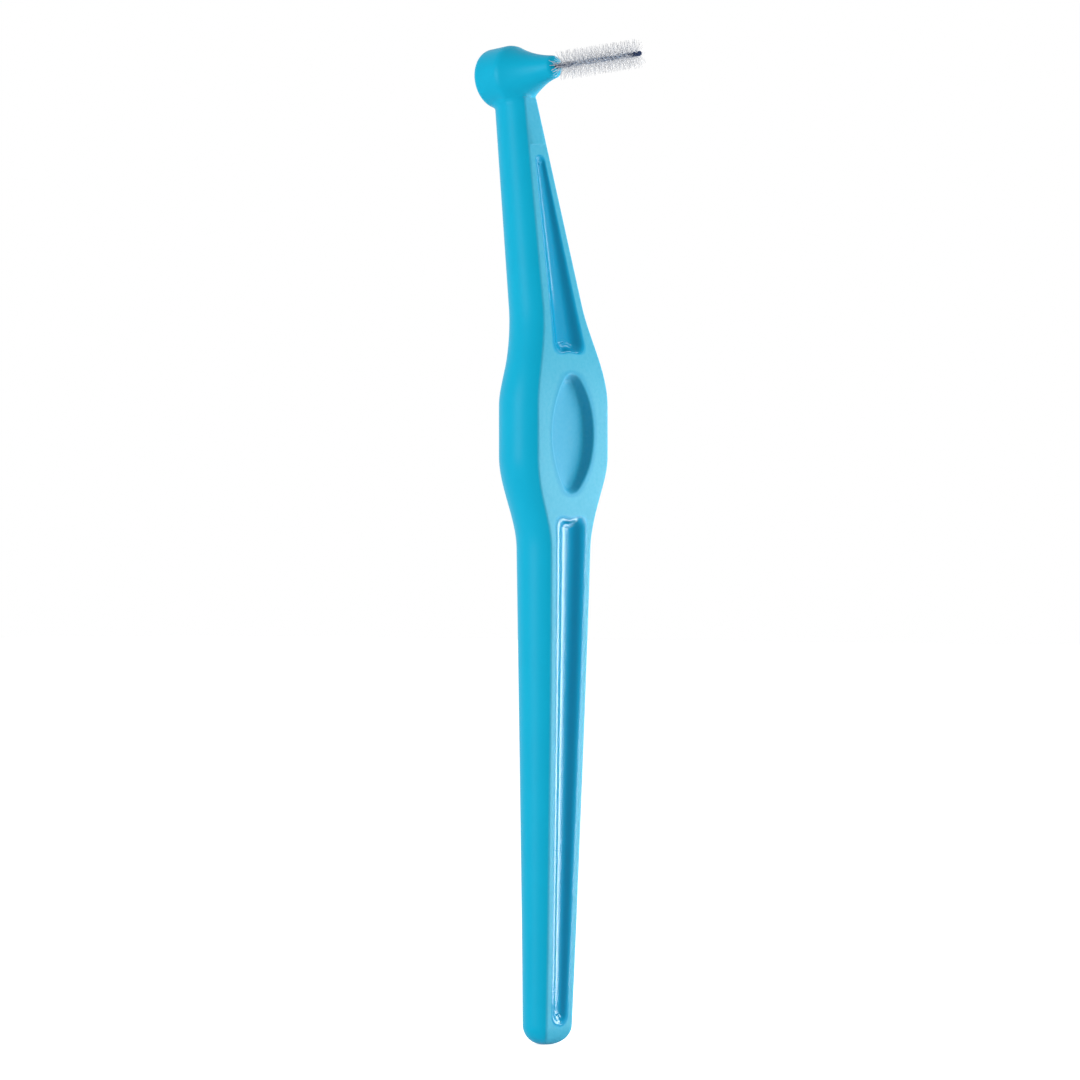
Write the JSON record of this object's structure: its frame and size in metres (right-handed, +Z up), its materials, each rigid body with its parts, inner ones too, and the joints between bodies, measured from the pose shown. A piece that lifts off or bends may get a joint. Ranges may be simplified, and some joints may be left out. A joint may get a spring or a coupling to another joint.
{
  "type": "interdental brush",
  "caption": "Slim hand-held interdental brush: a turquoise moulded handle with a leaning neck and a bell-shaped head that holds a short twisted-wire brush at an angle.",
  "frame": {"origin": "middle of the small flat at the rounded end of the handle", "axes": "+Z up the handle from its rounded end to the head, +X the way the brush points, Y across; the handle is symmetric about the XZ plane"},
  "size_m": [0.0248, 0.0154, 0.1201],
  "materials": {
    "handle_plastic": "satin turquoise polypropylene, frosted on the front face and glossy in the grooves",
    "coated_wire": "stainless wire with a thin dark coating",
    "filaments": "fine translucent nylon filaments"
  },
  "bodies": {
    "root": {"handle": "handle_plastic", "twisted_wire": "coated_wire", "bristle_fan_01": "filaments", "bristle_fan_02": "filaments", "bristle_fan_03": "filaments", "bristle_fan_04": "filaments", "bristle_fan_05": "filaments", "bristle_fan_06": "filaments", "bristle_fan_07": "filaments", "bristle_fan_08": "filaments", "bristle_fan_09": "filaments", "bristle_fan_10": "filaments", "bristle_fan_11": "filaments", "bristle_fan_12": "filaments", "bristle_fan_13": "filaments", "bristle_fan_14": "filaments", "bristle_fan_15": "filaments", "bristle_fan_16": "filaments", "bristle_fan_17": "filaments", "bristle_fan_18": "filaments"}
  },
  "joints": []
}
